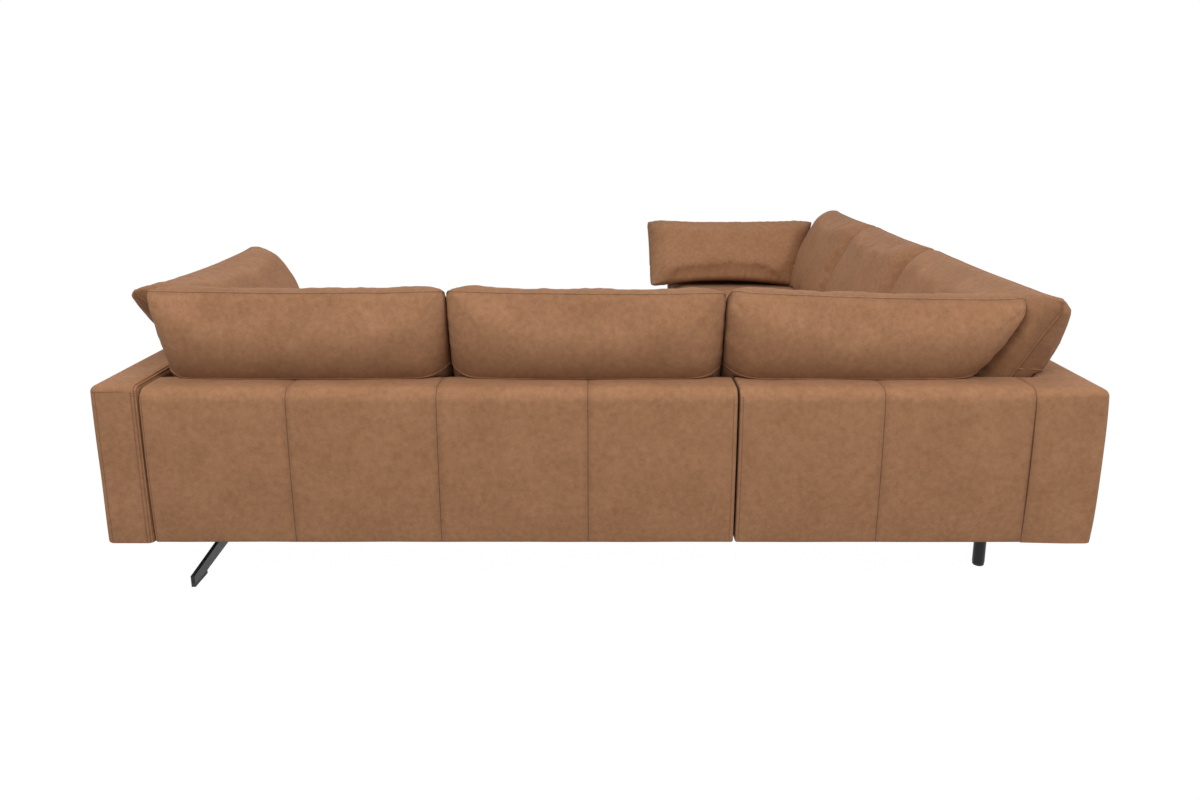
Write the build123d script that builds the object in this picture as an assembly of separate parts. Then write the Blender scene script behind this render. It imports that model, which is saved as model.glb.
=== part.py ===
"""Corner sofa in three modules: two mirrored two-seat modules that pull away from a square corner module.

Units are millimetres. Z is up. The frame's origin is on the floor under the middle of the square that the
sofa fills. The long back stands along -Y, the other back along +X, and the corner is at (+X, -Y).
Everything on the side module is drawn from its own outer corner: x runs from the arm towards the corner
module, y from the outer back face towards the seat front. The second side module is the same one mirrored
across the diagonal.
"""
import os
from math import cos, radians, sin, sqrt

from build123d import *

# Plan of the modules
arm_width = 125
arm_gap = 4
panel_widths = (394, 408, 411, 407)
corner_size = 996
corner_first_panel = 394
corner_second_panel = 408
module_gap = 5

# Heights
leg_height = 175
back_height = 620
seat_height = 468
rail_height = 110

# Upholstery
leather = 3
back_depth = 140
face_crown_radius = 4500
face_crown_height = 440
back_top_radius = 34
back_inner_radius = 16
corner_edge_radius = 24
arm_edge_radius = 22
arm_top_radius = 24
apron_depth = 15
apron_radius = 5
lining = 2
strap_width = 60
strap_thickness = 2
strap_pitch = 190
soft_fit = 0.6
rest_gap = 0.3
straight_bow = 1.5
swell_angles = [0, 25, 50, 70, 90]

# Timber
board = 24
frame_setback = 32
frame_depth = 76
frame_top_drop = 35
arm_board = 18
arm_padding = 28
joint_recess = 12
block_size = 90
block_height = 60
leg_rail_width = 54

# Seat cushions
seat_side_gap = 4
seat_back_gap = 6
seat_bottom_tuck = 6
seat_belly_rise = 40
seat_crown_inset = 95
seat_crown_drop = 46
seat_crown_bow = 8
seat_draw_in = 4

# Sled foot of the side module
sled_inset = 189
sled_thickness = 12
sled_tip = 72
sled_tip_height = 24
sled_glide_length = 85
sled_top_slope = 0.115
sled_bottom_slope = 0.077
sled_post_place = 330
sled_post_width = 64
sled_plate_length = 110
sled_plate_width = 44
sled_plate = 5
glide_height = 10

# Round legs
leg_diameter = 36
leg_plate_size = 70
leg_plate = 5
corner_leg_inset = 215
inner_leg_place = 440
joint_leg_inset = 116
front_leg_inset = 116

# Screws
screw_diameter = 5
screw_length = 36
screw_head_diameter = 9
screw_head = 2.5
screw_clearance = 0.3
leg_screw_pitch = 50
sled_screw_pitch_length = 90
sled_screw_pitch_width = 28

# Push-together connectors between the modules
connector_plate = 3
connector_width = 70
connector_height = 60
tongue_width = 30
tongue_thickness = 6
tongue_reach = 22
jaw_width = 40
jaw_reach = 14
jaw_thickness = 3
jaw_clearance = 0.4
connector_places = (330, 800)
connector_middle_height = 232
window_margin = 6

# Loose back cushions, which lean on the backs
cushion_lean = 25
cushion_top = 873
wing_cushion_top = 850
cushion_setback = 100
cushion_length_up = 540
cushion_front = 100
cushion_rear = 76
cushion_draw_in = 9
cushion_front_inset = 195
short_cushion_inset = 0.38
cushion_rear_inset = 100
cushion_crown_bow = 16
cushion_gap = 4
back_clearance = 1.2
pad_fit = 1.6

# Where each loose cushion starts and stops, from the outer face of the arm on its side
first_cushion_start = 136
first_seam = 950
second_seam = 1721
third_cushion_top_end = 2560
third_cushion_slant = 0.5
wing_first_cushion_start = 150
wing_first_seam = 905
wing_second_seam = 1666
wing_third_top_end = 2672
wing_third_slant = 0.3

# Loose arm cushions, which lean on the arms
left_arm_lean = 32
left_arm_top = 848
left_arm_setback = 28
left_arm_span = (224, 1148)
left_arm_slant = 0.48
left_arm_rear = 48
far_arm_lean = 27
far_arm_top = 782
far_arm_setback = 92
far_arm_span = (224, 1113)
far_arm_slant = 0.5
far_arm_rear = 52
arm_cushion_front = 96
arm_cushion_length_up = 500
far_cushion_length_up = 400

# Worked out from the above
side_length = arm_width + arm_gap + sum(panel_widths)
corner_start = side_length + module_gap
overall = corner_start + corner_size
half = overall / 2
module_depth = corner_size
base_start = arm_width + arm_gap
base_end = side_length - joint_recess
frame_front = frame_setback + frame_depth
rail_bottom = leg_height + lining
deck = rail_bottom + rail_height
seat_bottom = deck + strap_thickness
frame_top = back_height - frame_top_drop
front_rail_outer = module_depth - apron_depth
cushion_rest = seat_height + rest_gap
diagonal = Plane(origin=(0, 0, 0), z_dir=(1, 1, 0))
arm_diagonal = Plane(origin=(0, 0, 0), z_dir=(1, -1, 0))
upright = Plane.YZ
low = (Align.MIN, Align.MIN, Align.MIN)
low_flat = (Align.MIN, Align.MIN)


def span(x0, x1, y0, y1, z0, z1):
    """Box between two corners."""
    return Pos(x0, y0, z0) * Box(x1 - x0, y1 - y0, z1 - z0, align=low)


def area(y0, y1, z0, z1):
    """Flat rectangle in the section plane of a back."""
    return Pos(y0, z0) * Rectangle(y1 - y0, z1 - z0, align=low_flat)


def along_x(section, x0, x1):
    """Section drawn in y and z, run from x0 to x1."""
    return extrude(upright.offset(x0) * section, x1 - x0)


def placed(solids):
    """Side-module solids moved into the sofa's frame."""
    return [Pos(-half, -half, 0) * solid for solid in solids]


def mirrored(solids):
    """Solids of the sofa's frame reflected across the diagonal through the corner."""
    return [mirror(solid, about=diagonal) for solid in solids]


def save(name, solids):
    """One STEP file for one node."""
    pieces = [piece for solid in solids for piece in solid.solids()]
    export_step(pieces[0] if len(pieces) == 1 else Compound(children=pieces), f"parts/{name}.step")


# Padded backs


def crown(z):
    """How far the outer face of a back tucks in at height z."""
    return face_crown_radius - sqrt(face_crown_radius**2 - (z - face_crown_height) ** 2)


def back_outline(inset):
    """Section of a padded back, a steady inset inside its leather."""
    bottom = leg_height
    top = back_height - inset
    front = back_depth - inset
    face = ThreePointArc((crown(bottom) + inset, bottom), (inset, face_crown_height), (crown(top) + inset, top))
    rest = Polyline((crown(top) + inset, top), (front, top), (front, bottom), (crown(bottom) + inset, bottom))
    sketch = make_face([face, *rest.edges()])
    corners = sketch.vertices().group_by(Axis.Y)[-1].sort_by(Axis.X)
    sketch = fillet(corners[0], back_top_radius - inset)
    corner = sketch.vertices().group_by(Axis.Y)[-1].sort_by(Axis.X)[-1]
    return fillet(corner, back_inner_radius - inset)


def below_deck(gap):
    """Room under the seat that a back's inner padding leaves to the base frame."""
    return area(frame_front - gap, back_depth + 1, leg_height, seat_bottom)


cover_section = back_outline(0) - back_outline(leather) - below_deck(soft_fit)
cover_section -= area(0, leather + crown(leg_height), leg_height - 1, leg_height)
frame_area = area(frame_setback - soft_fit, frame_front + soft_fit, leg_height, frame_top + soft_fit)
padding_section = back_outline(leather + soft_fit) - frame_area - below_deck(soft_fit)
end_section = back_outline(0) - below_deck(soft_fit)


def back_panels(edges):
    """Sewn leather panels of a back between the given seams."""
    return [along_x(cover_section, x0, x1) for x0, x1 in zip(edges, edges[1:])]


def back_boards(x0, x1, studs):
    """Timber of a back: top and bottom boards with studs between them."""
    boards = [span(x0, x1, frame_setback, frame_front, z, z + board) for z in (rail_bottom, frame_top - board)]
    for x in studs:
        boards.append(span(x, x + board, frame_setback, frame_front, rail_bottom + board, frame_top - board))
    return boards


def evenly(start, stop, count, width):
    """Starts of count pieces of one width, spread from start to stop."""
    step = (stop - width - start) / (count - 1)
    return [start + i * step for i in range(count)]


# Screws, legs and glides


def screw_at(x, y, seat_z):
    """Screw driven up into the frame, with its head under seat_z."""
    head = Pos(x, y, seat_z - screw_head / 2) * Cylinder(screw_head_diameter / 2, screw_head)
    shank = Pos(x, y, seat_z + screw_length / 2) * Cylinder(screw_diameter / 2, screw_length)
    return head + shank


def screw_hole(x, y, seat_z):
    """Clearance for one screw's shank."""
    radius = screw_diameter / 2 + screw_clearance
    return Pos(x, y, seat_z + screw_length / 2) * Cylinder(radius, screw_length + 2 * screw_clearance)


def screw_pattern(x, y, pitch_x, pitch_y):
    """Four screw places about a plate's middle."""
    return [(x + i * pitch_x / 2, y + j * pitch_y / 2) for i in (-1, 1) for j in (-1, 1)]


def round_leg(x, y):
    """Turned leg with its fixing plate."""
    plate_bottom = leg_height - leg_plate
    shaft = Pos(x, y, glide_height) * Cylinder(
        leg_diameter / 2, plate_bottom - glide_height, align=(Align.CENTER, Align.CENTER, Align.MIN)
    )
    plate = Pos(x, y, leg_height - leg_plate / 2) * Box(leg_plate_size, leg_plate_size, leg_plate)
    leg = shaft + fillet(plate.edges().filter_by(Axis.Z), leg_plate)
    for place in screw_pattern(x, y, leg_screw_pitch, leg_screw_pitch):
        leg -= screw_hole(*place, plate_bottom)
    return leg


def round_glide(x, y):
    """Plastic glide under a round leg."""
    disc = Cylinder(leg_diameter / 2 - 1, glide_height, align=(Align.CENTER, Align.CENTER, Align.MIN))
    disc = chamfer(disc.edges().sort_by(Axis.Z)[0], glide_height / 5)
    return Pos(x, y, 0) * disc


def cut_screws(solids, places, seat_z):
    """Solids with a hole for each screw that reaches them."""
    holes = [screw_hole(*place, seat_z) for place in places]
    cut = []
    for solid in solids:
        for hole in holes:
            if solid.bounding_box().overlaps(hole.bounding_box()):
                solid = solid - hole
        cut.append(solid)
    return cut


# Connectors


def tongue_bracket(y):
    """Plate on the side module's end rail with a tongue that pushes into the corner module's jaws."""
    z0 = connector_middle_height - connector_height / 2
    plate = span(base_end, base_end + connector_plate, y, y + connector_width, z0, z0 + connector_height)
    middle = y + connector_width / 2
    tongue = span(
        base_end + connector_plate,
        base_end + connector_plate + tongue_reach,
        middle - tongue_width / 2,
        middle + tongue_width / 2,
        connector_middle_height - tongue_thickness / 2,
        connector_middle_height + tongue_thickness / 2,
    )
    nose = tongue.faces().sort_by(Axis.X)[-1].edges().filter_by(Axis.Z)
    return plate + fillet(nose, tongue_width / 4)


def jaw_bracket(y):
    """Plate on the corner module's end rail with the two jaws that hold a tongue."""
    face = corner_start + joint_recess
    z0 = connector_middle_height - connector_height / 2
    bracket = span(face - connector_plate, face, y, y + connector_width, z0, z0 + connector_height)
    middle = y + connector_width / 2
    opening = tongue_thickness / 2 + jaw_clearance
    for z in (connector_middle_height - opening - jaw_thickness, connector_middle_height + opening):
        bracket += span(
            face - connector_plate - jaw_reach,
            face - connector_plate,
            middle - jaw_width / 2,
            middle + jaw_width / 2,
            z,
            z + jaw_thickness,
        )
    return bracket


def joint_lining(x):
    """Cloth over a module's joint face, with a window for each connector."""
    cloth = span(x, x + lining, frame_front - soft_fit, front_rail_outer, rail_bottom, deck)
    for y in connector_places:
        cloth -= span(
            x - 1,
            x + lining + 1,
            y - window_margin,
            y + connector_width + window_margin,
            connector_middle_height - connector_height / 2 - window_margin,
            connector_middle_height + connector_height / 2 + window_margin,
        )
    return cloth


# Soft forms


def outline(corners, centre, inset, bow, plane):
    """Four-sided outline shrunk by inset about its centre, each side bowed out by bow (in if negative).

    A bow under straight_bow is left straight.
    """
    us = [u for u, _ in corners]
    vs = [v for _, v in corners]
    scale_u = 1 - 2 * inset / (max(us) - min(us))
    scale_v = 1 - 2 * inset / (max(vs) - min(vs))
    points = [
        (centre[0] + (u - centre[0]) * scale_u, centre[1] + (v - centre[1]) * scale_v) for u, v in corners
    ]
    sides = []
    for (u0, v0), (u1, v1) in zip(points, points[1:] + points[:1]):
        if abs(bow) < straight_bow:
            sides.append(Line((u0, v0), (u1, v1)))
            continue
        length = sqrt((u1 - u0) ** 2 + (v1 - v0) ** 2)
        middle = ((u0 + u1) / 2 + bow * (v1 - v0) / length, (v0 + v1) / 2 - bow * (u1 - u0) / length)
        sides.append(ThreePointArc((u0, v0), middle, (u1, v1)))
    return plane * make_face(sides)


def swell(angle, reach, rise):
    """Inset and rise of a quarter ellipse, angle degrees up from a seam or an edge."""
    return reach * (1 - cos(radians(angle))), rise * sin(radians(angle))


def seat_form(x0, x1, y0, y1, skin):
    """Boxed seat cushion with a crowned top and drawn-in sides, skin inside its leather."""
    corners = [(x0, y0), (x1, y0), (x1, y1), (x0, y1)]
    centre = ((x0 + x1) / 2, (y0 + y1) / 2)
    levels = [(seat_bottom + skin, seat_bottom_tuck, -seat_draw_in)]
    levels.append((seat_bottom + seat_belly_rise, 0, -seat_draw_in))
    for angle in swell_angles:
        inset, rise = swell(angle, seat_crown_inset, seat_crown_drop - skin)
        level = seat_height - seat_crown_drop + rise
        levels.append((level, inset, swell(angle, seat_crown_bow, 0)[0] - seat_draw_in * cos(radians(angle))))
    sections = [outline(corners, centre, inset + skin, bow, Plane.XY.offset(z)) for z, inset, bow in levels]
    return loft(sections, ruled=True)


def seat_pieces(x0, x1, y0, y1):
    """Leather case and foam block of one seat cushion."""
    case = seat_form(x0, x1, y0, y1, 0) - seat_form(x0, x1, y0, y1, leather)
    return case, seat_form(x0, x1, y0, y1, leather + soft_fit)


def cushion_form(top, bottom, lean, peak, setback, length_up, front, rear, rest_depth, skin):
    """Stuffed cushion that leans over a back or arm, skin inside its leather.

    top and bottom are its seam's spans along x. Its lower end is flat where it stands on the seat, and its rear
    follows its lean below the edge it rests on, so that it slides off along its lean.
    """
    tilt = radians(lean)
    seam_top = Vector(0, setback, peak)
    plane = Plane(seam_top, x_dir=(1, 0, 0), z_dir=(0, -cos(tilt), -sin(tilt)))
    corners = [(top[0], 0), (top[1], 0), (bottom[1], -length_up), (bottom[0], -length_up)]
    centre = (sum(u for u, _ in corners) / 4, -length_up / 2)
    front_inset = min(cushion_front_inset, length_up * short_cushion_inset)
    sections = []
    for angle in [-a for a in swell_angles[:0:-1]] + swell_angles:
        reach, rise = (cushion_rear_inset, skin - rear) if angle < 0 else (front_inset, front - skin)
        inset, depth = swell(abs(angle), reach, rise)
        bow = swell(angle, cushion_crown_bow, 0)[0] - cushion_draw_in * cos(radians(angle))
        sections.append(outline(corners[::-1], centre, inset + skin, bow, plane.offset(-depth)))
    form = loft(sections, ruled=True)
    stand = cushion_rest + min(skin, leather + soft_fit)
    floor = span(top[0] - half, top[1] + half, -half, overall, 0, stand)
    rest_top = back_height + back_clearance
    rest_front = rest_depth + back_clearance
    slide = [
        (-half, rest_top + skin),
        (rest_front + skin * (1 - sin(tilt)) / cos(tilt), rest_top + skin),
        (rest_front + (rest_top * sin(tilt) + skin) / cos(tilt), 0),
        (-half, 0),
    ]
    wall = along_x(make_face(Polyline(*slide, close=True)), top[0] - half, top[1] + half)
    return form - floor - wall


def cushion_pieces(top, bottom, *sizes):
    """Leather case and inner pad of one loose cushion."""
    case = cushion_form(top, bottom, *sizes, 0) - cushion_form(top, bottom, *sizes, leather)
    return case, cushion_form(top, bottom, *sizes, leather + pad_fit)


def back_cushion(start, stop, peak, slant=0):
    """Loose back cushion between two seams; slant narrows its lower end where it meets the corner."""
    top = (start + cushion_gap / 2, stop - cushion_gap / 2)
    drop = slant * cushion_length_up * cos(radians(cushion_lean))
    sizes = (cushion_lean, peak, cushion_setback, cushion_length_up, cushion_front, cushion_rear, back_depth)
    return cushion_pieces(top, (top[0], top[1] - drop), *sizes)


def arm_cushion(top, slant, lean, peak, setback, length_up, rear):
    """Loose cushion that leans on an arm, drawn as if the arm were a back."""
    drop = slant * length_up * cos(radians(lean))
    sizes = (lean, peak, setback, length_up, arm_cushion_front, rear, arm_width)
    return cushion_pieces(top, (top[0] + drop, top[1] - cushion_draw_in), *sizes)


# Side module


def side_module():
    """Nodes of the side module with the arm on its left, in the sofa's frame."""
    nodes = {}
    seams = [base_start + sum(panel_widths[:i]) for i in range(len(panel_widths) + 1)]
    panel_edges = seams[:-1] + [side_length - leather]
    middle = (base_start + side_length) / 2
    leg_x = base_end - joint_leg_inset
    legs = [(leg_x, inner_leg_place), (leg_x, module_depth - front_leg_inset)]
    leg_screws = [place for leg in legs for place in screw_pattern(*leg, leg_screw_pitch, leg_screw_pitch)]
    posts = (sled_post_place, module_depth - sled_post_place)
    sled_screws = [
        place
        for y in posts
        for place in screw_pattern(sled_inset, y, sled_screw_pitch_width, sled_screw_pitch_length)
    ]

    rails = [
        span(base_start, base_end, frame_front, frame_front + board, rail_bottom, deck),
        span(base_start, base_end, front_rail_outer - board, front_rail_outer, rail_bottom, deck),
    ]
    for x in (base_start, middle - board / 2, base_end - board):
        rails.append(span(x, x + board, frame_front + board, front_rail_outer - board, rail_bottom, deck))
    rails.append(
        span(
            sled_inset - leg_rail_width / 2,
            sled_inset + leg_rail_width / 2,
            frame_front + board,
            front_rail_outer - board,
            rail_bottom,
            rail_bottom + block_height,
        )
    )
    for x, y in legs:
        around = (x - block_size / 2, base_end - board, y - block_size / 2, y + block_size / 2)
        rails.append(span(*around, rail_bottom, rail_bottom + block_height))
    rails = cut_screws(rails, leg_screws, leg_height - leg_plate)
    nodes["base_frame"] = cut_screws(rails, sled_screws, leg_height - sled_plate)

    studs = evenly(base_start + leather, side_length - leather - soft_fit, len(panel_widths) + 1, board)
    nodes["back_frame"] = back_boards(base_start + leather, side_length - leather - soft_fit, studs)
    nodes["back_cover"] = back_panels(panel_edges) + [along_x(end_section, side_length - leather, side_length)]
    back_padding = along_x(padding_section, base_start, side_length - leather - soft_fit)

    straps = int((base_end - base_start - strap_width) // strap_pitch) + 1
    starts = evenly(base_start + board, base_end - board, straps, strap_width)
    strap_span = (frame_front + soft_fit, front_rail_outer - soft_fit)
    nodes["seat_webbing"] = [span(x, x + strap_width, *strap_span, deck, seat_bottom) for x in starts]

    seats = []
    for x0, x1 in ((base_start, middle), (middle, side_length)):
        seats.append(seat_pieces(x0 + seat_side_gap, x1 - seat_side_gap, back_depth + seat_back_gap, module_depth))
    nodes["seat_covers"] = [case for case, _ in seats]
    nodes["seat_foam"] = [foam for _, foam in seats]

    nodes["arm_frame"], arm_foam, nodes["arm_cover"] = arm_pieces()
    nodes["padding"] = [back_padding, arm_foam]

    apron = span(base_start, side_length, front_rail_outer, module_depth, leg_height, seat_bottom - soft_fit)
    front_edges = apron.faces().sort_by(Axis.Y)[-1].edges().filter_by(Axis.X)
    nodes["front_apron"] = [fillet(front_edges, apron_radius)]

    cloth_end = side_length - leather - soft_fit
    cloth = span(base_start, cloth_end, frame_setback, front_rail_outer, leg_height, rail_bottom)
    cloth = cut_screws([cloth], leg_screws, leg_height - leg_plate)
    cloth = cut_screws(cloth, sled_screws, leg_height - sled_plate)
    inside = leather + soft_fit
    arm_foot = RectangleRounded(arm_width - 2 * inside, module_depth - 2 * inside, arm_edge_radius - inside)
    arm_cloth = extrude(Pos(arm_width / 2, module_depth / 2, leg_height) * arm_foot, lining)
    nodes["lining"] = cloth + [arm_cloth, joint_lining(side_length - lining)]

    nodes["sled_leg"], sled_glides = sled_pieces(posts, sled_screws)
    nodes["support_legs"] = [round_leg(*leg) for leg in legs]
    nodes["leg_glides"] = sled_glides + [round_glide(*leg) for leg in legs]
    nodes["leg_screws"] = [screw_at(*place, leg_height - leg_plate) for place in leg_screws]
    nodes["leg_screws"] += [screw_at(*place, leg_height - sled_plate) for place in sled_screws]
    nodes["connector_tongues"] = [tongue_bracket(y) for y in connector_places]
    return {name: placed(solids) for name, solids in nodes.items()}


def arm_pieces():
    """Timber, padding and leather of the arm."""
    window = span(
        arm_width - arm_padding - leather,
        arm_width + 1,
        frame_front,
        front_rail_outer,
        leg_height - 1,
        deck,
    )

    def block(inset, bottom):
        """Arm's rounded block, a steady inset inside its leather."""
        size = (arm_width - 2 * inset, module_depth - 2 * inset)
        foot = Pos(arm_width / 2, module_depth / 2) * RectangleRounded(*size, arm_edge_radius - inset)
        solid = extrude(Pos(0, 0, bottom) * foot, back_height - inset - bottom)
        return fillet(solid.faces().sort_by(Axis.Z)[-1].edges(), arm_top_radius - inset)

    cover = block(0, leg_height) - block(leather, leg_height - 1) - window
    y0 = arm_padding
    y1 = module_depth - arm_padding
    x0 = arm_padding
    x1 = arm_width - arm_padding
    top = back_height - arm_padding
    timber_room = span(x0 - soft_fit, x1 + soft_fit, y0 - soft_fit, y1 + soft_fit, leg_height - 1, top + soft_fit)
    foam = block(leather + soft_fit, leg_height + lining) - timber_room - window

    boards = [span(x, x + arm_board, y0, y1, rail_bottom, top) for x in (x0, x1 - arm_board)]
    inner = (x0 + arm_board, x1 - arm_board)
    for z in (rail_bottom, top - board):
        boards.append(span(*inner, y0, y1, z, z + board))
    for y in (y0, y1 - board):
        boards.append(span(*inner, y, y + board, rail_bottom + board, top - board))
    strip = (x1, base_start, frame_front + soft_fit, front_rail_outer - soft_fit)
    boards.append(span(*strip, rail_bottom, deck - soft_fit))
    return boards, foam, cover


def sled_pieces(posts, screws):
    """Flat-bar sled foot cut from one plate, its two fixing plates and its end glides."""
    middle = module_depth / 2
    run = sled_post_place - sled_tip
    rise = sled_top_slope * run
    tip_top = glide_height + sled_tip_height
    heel = sled_tip + sled_glide_length
    post = sled_post_width / 2
    plate_bottom = leg_height - sled_plate
    bottom_rise = sled_bottom_slope * (sled_post_place - heel)
    half_outline = [
        (sled_tip, glide_height),
        (heel, glide_height),
        (sled_post_place, glide_height + bottom_rise),
        (middle, glide_height + bottom_rise),
        (middle, tip_top + rise),
        (sled_post_place + post, tip_top + rise),
        (sled_post_place + post, plate_bottom),
        (sled_post_place - post, plate_bottom),
        (sled_post_place - post, tip_top + rise - sled_top_slope * post),
        (sled_tip, tip_top),
    ]
    face = make_face(Polyline(*half_outline, close=True).edges())
    whole = face + mirror(face, about=Plane(origin=(middle, 0, 0), z_dir=(1, 0, 0)))
    leg = along_x(whole, sled_inset - sled_thickness / 2, sled_inset + sled_thickness / 2)
    for y in posts:
        plate = Pos(sled_inset, y, leg_height - sled_plate / 2) * Box(sled_plate_width, sled_plate_length, sled_plate)
        leg += plate
    for place in screws:
        leg -= screw_hole(*place, plate_bottom)
    glides = []
    for y in (sled_tip, module_depth - heel):
        x0 = sled_inset - sled_thickness / 2
        glides.append(span(x0, x0 + sled_thickness, y, y + sled_glide_length, 0, glide_height))
    return [leg], glides


# Corner module


def corner_module():
    """Nodes of the corner module, in the sofa's frame."""
    start = corner_start + joint_recess
    wing_rail = overall - frame_front
    far_rail = module_depth - joint_recess
    inner = overall - inner_leg_place
    joint_leg = start + joint_leg_inset
    legs = [
        (overall - corner_leg_inset, corner_leg_inset),
        (joint_leg, inner_leg_place),
        (inner, far_rail - joint_leg_inset),
        (joint_leg, far_rail - joint_leg_inset),
    ]
    screws = [place for leg in legs for place in screw_pattern(*leg, leg_screw_pitch, leg_screw_pitch)]

    rails = [
        span(start, wing_rail, frame_front, frame_front + board, rail_bottom, deck),
        span(start, wing_rail, far_rail - board, far_rail, rail_bottom, deck),
        span(start, start + board, frame_front + board, far_rail - board, rail_bottom, deck),
        span(wing_rail - board, wing_rail, frame_front + board, far_rail - board, rail_bottom, deck),
    ]
    reach = {
        legs[0]: (overall - corner_leg_inset - block_size / 2, wing_rail - board, frame_front + board, None),
        legs[1]: (start + board, None, None, None),
        legs[2]: (None, None, None, far_rail - board),
        legs[3]: (start + board, None, None, far_rail - board),
    }
    for (x, y), sides in reach.items():
        own = (x - block_size / 2, x + block_size / 2, y - block_size / 2, y + block_size / 2)
        x0, x1, y0, y1 = (own[i] if side is None else side for i, side in enumerate(sides))
        rails.append(span(x0, x1, y0, y1, rail_bottom, rail_bottom + block_height))
    local = {"base_frame": cut_screws(rails, screws, leg_height - leg_plate)}

    straps = int((wing_rail - start - strap_width) // strap_pitch) + 1
    starts = evenly(start + board, wing_rail - board, straps, strap_width)
    strap_span = (frame_front + soft_fit, far_rail)
    local["seat_webbing"] = [span(x, x + strap_width, *strap_span, deck, seat_bottom) for x in starts]
    seat = seat_pieces(
        corner_start + seat_side_gap,
        overall - back_depth - seat_back_gap,
        back_depth + seat_back_gap,
        module_depth - seat_side_gap,
    )
    local["seat_cover"] = [seat[0]]
    local["seat_foam"] = [seat[1]]

    cloth_edge = leather + soft_fit
    cloth = span(
        corner_start + cloth_edge,
        overall - frame_setback,
        frame_setback,
        module_depth - cloth_edge,
        leg_height,
        rail_bottom,
    )
    cloth = cut_screws([cloth], screws, leg_height - leg_plate)
    local["legs"] = [round_leg(*leg) for leg in legs]
    local["leg_glides"] = [round_glide(*leg) for leg in legs]
    local["leg_screws"] = [screw_at(*place, leg_height - leg_plate) for place in screws]
    nodes = {name: placed(solids) for name, solids in local.items()}

    end_cloth = placed([joint_lining(corner_start)])
    nodes["lining"] = placed(cloth) + end_cloth + mirrored(end_cloth)
    jaws = placed([jaw_bracket(y) for y in connector_places])
    nodes["connector_jaws"] = jaws + mirrored(jaws)

    post_start = overall - frame_front
    studs = evenly(corner_start + leather + soft_fit, post_start, 3, board)
    boards = placed(back_boards(corner_start + leather + soft_fit, overall - frame_setback, studs))
    wing_boards = mirrored(placed(back_boards(corner_start + leather + soft_fit, post_start, studs)))
    post_sides = (post_start + board, overall - frame_setback, frame_setback, frame_front)
    post = placed([span(*post_sides, rail_bottom + board, frame_top - board)])
    nodes["back_frame"] = boards + wing_boards + post

    edges = [corner_start + leather, corner_start + corner_first_panel]
    edges.append(edges[-1] + corner_second_panel)
    straight = placed(back_panels(edges) + [along_x(end_section, corner_start, corner_start + leather)])
    bend = mitred(cover_section, edges[-1])
    nodes["back_cover"] = straight + mirrored(straight) + [bend]
    nodes["padding"] = [mitred(padding_section, corner_start + leather + soft_fit)]
    return nodes


def mitred(section, x0):
    """Section run from x0 round the corner and on for as far along the other back."""
    run = Pos(-half, -half, 0) * along_x(section, x0, overall)
    side = split(run, bisect_by=diagonal, keep=Keep.BOTTOM)
    rounding = span(-half, half, -half, half, 0, back_height + 1)
    edge = rounding.edges().filter_by(Axis.Z).sort_by(Axis.X)[2:].sort_by(Axis.Y)[0]
    return (side + mirror(side, about=diagonal)) & fillet(edge, corner_edge_radius)


def loose_cushions():
    """Case and pad of each loose cushion, by its name, in the sofa's frame."""
    along_back = {
        "left_end_cushion": back_cushion(first_cushion_start, first_seam, cushion_top),
        "left_middle_cushion": back_cushion(first_seam, second_seam, cushion_top),
        "corner_rear_cushion": back_cushion(second_seam, third_cushion_top_end, cushion_top, third_cushion_slant),
    }
    along_wing = {
        "right_end_cushion": back_cushion(wing_first_cushion_start, wing_first_seam, wing_cushion_top),
        "right_middle_cushion": back_cushion(wing_first_seam, wing_second_seam, wing_cushion_top),
        "corner_side_cushion": back_cushion(wing_second_seam, wing_third_top_end, wing_cushion_top, wing_third_slant),
    }
    left_arm = arm_cushion(
        left_arm_span,
        left_arm_slant,
        left_arm_lean,
        left_arm_top,
        left_arm_setback,
        arm_cushion_length_up,
        left_arm_rear,
    )
    far_arm = arm_cushion(
        far_arm_span, far_arm_slant, far_arm_lean, far_arm_top, far_arm_setback, far_cushion_length_up, far_arm_rear
    )
    cushions = {name: placed(pieces) for name, pieces in along_back.items()}
    for name, pieces in along_wing.items():
        cushions[name] = mirrored(placed(pieces))
    cushions["left_arm_cushion"] = [mirror(piece, about=arm_diagonal) for piece in placed(left_arm)]
    turned = [mirror(piece, about=arm_diagonal) for piece in placed(far_arm)]
    cushions["right_arm_cushion"] = mirrored(turned)
    return cushions


def main():
    """Write every node's STEP file."""
    os.makedirs("parts", exist_ok=True)
    for name, solids in side_module().items():
        save(f"left_{name}", solids)
        save(f"right_{name}", mirrored(solids))
    for name, solids in corner_module().items():
        save(f"corner_{name}", solids)
    for name, (case, pad) in loose_cushions().items():
        save(f"{name}_cover", [case])
        save(f"{name}_pad", [pad])
    print(f"sofa {overall} x {overall}, side module {side_length}, corner module {corner_size}")


main()
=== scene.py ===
"""Leather corner sofa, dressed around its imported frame: backs, arms, seats, loose cushions and their stitching."""
from contextlib import contextmanager
from dataclasses import dataclass
from math import cos, pi, radians, sin, sqrt

import bpy
import numpy as np
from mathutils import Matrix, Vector, noise
from mathutils.bvhtree import BVHTree


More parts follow.
